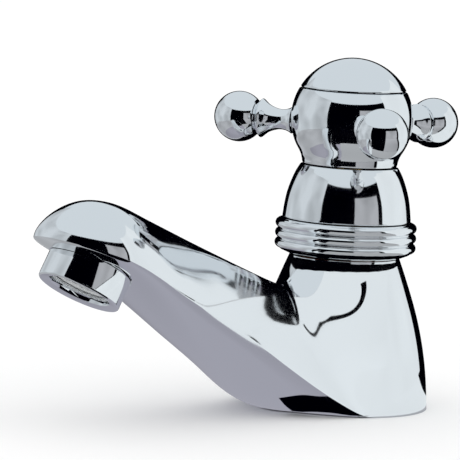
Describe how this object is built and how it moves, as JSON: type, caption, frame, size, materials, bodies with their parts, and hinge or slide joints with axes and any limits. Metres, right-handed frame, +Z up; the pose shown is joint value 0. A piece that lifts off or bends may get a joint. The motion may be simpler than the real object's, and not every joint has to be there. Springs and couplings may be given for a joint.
{
  "type": "basin pillar tap",
  "caption": "Chrome basin pillar tap with a ball-ended cross-arm handle, rubber-washer valve, hooded spout and aerator, for a hole in a basin or deck",
  "frame": {"origin": "centre of the round base where it sits on the deck, on the valve axis: the centre of the tap hole", "axes": "+Z up along the valve axis, -Y the way the spout points, +X to the right for someone looking along +Y at the spout's mouth"},
  "size_m": [0.0798, 0.1668, 0.1613],
  "materials": {
    "chrome": "mirror-polished chrome plating on brass",
    "brass": "bare machined brass",
    "steel": "plain stainless steel",
    "black_rubber": "matt black rubber",
    "red_fibre": "pressed red fibre",
    "grey_plastic": "moulded pale grey acetal"
  },
  "bodies": {
    "tap_base": {"spout_body": "chrome", "ring_collar": "chrome", "bell_shroud": "chrome", "aerator_housing": "chrome", "aerator_screen": "grey_plastic", "flow_straightener": "grey_plastic", "aerator_seal": "black_rubber", "inlet_tail": "brass", "base_gasket": "black_rubber", "rubber_washer": "black_rubber", "metal_washer": "steel", "backnut": "brass", "valve_seat": "brass", "headwork_seal": "red_fibre", "headwork_bonnet": "brass"},
    "handle": {"handle_head": "chrome", "index_cap": "chrome", "handle_arm_1": "chrome", "handle_arm_2": "chrome", "handle_arm_3": "chrome", "arm_ball_1": "chrome", "arm_ball_2": "chrome", "arm_ball_3": "chrome", "handle_screw": "steel", "spindle": "brass", "spindle_o_ring_1": "black_rubber", "spindle_o_ring_2": "black_rubber", "spindle_circlip": "steel"},
    "jumper_carrier": {"jumper": "brass", "tap_washer": "black_rubber", "washer_nut": "brass"}
  },
  "joints": [
    {"name": "handle_turn", "type": "hinge", "parent": "tap_base", "child": "handle", "pos_m": [0, 0, 0.0883], "axis": [0, 0, 1], "range_deg": [0, 540]},
    {"name": "jumper_lift", "type": "slide", "parent": "tap_base", "child": "jumper_carrier", "axis": [0, 0, 1], "range_m": [0, 0.00526]}
  ],
  "couplings": [
    {"joint": "jumper_lift", "follows": "handle_turn", "m_per_rad": 0.00055704}
  ]
}
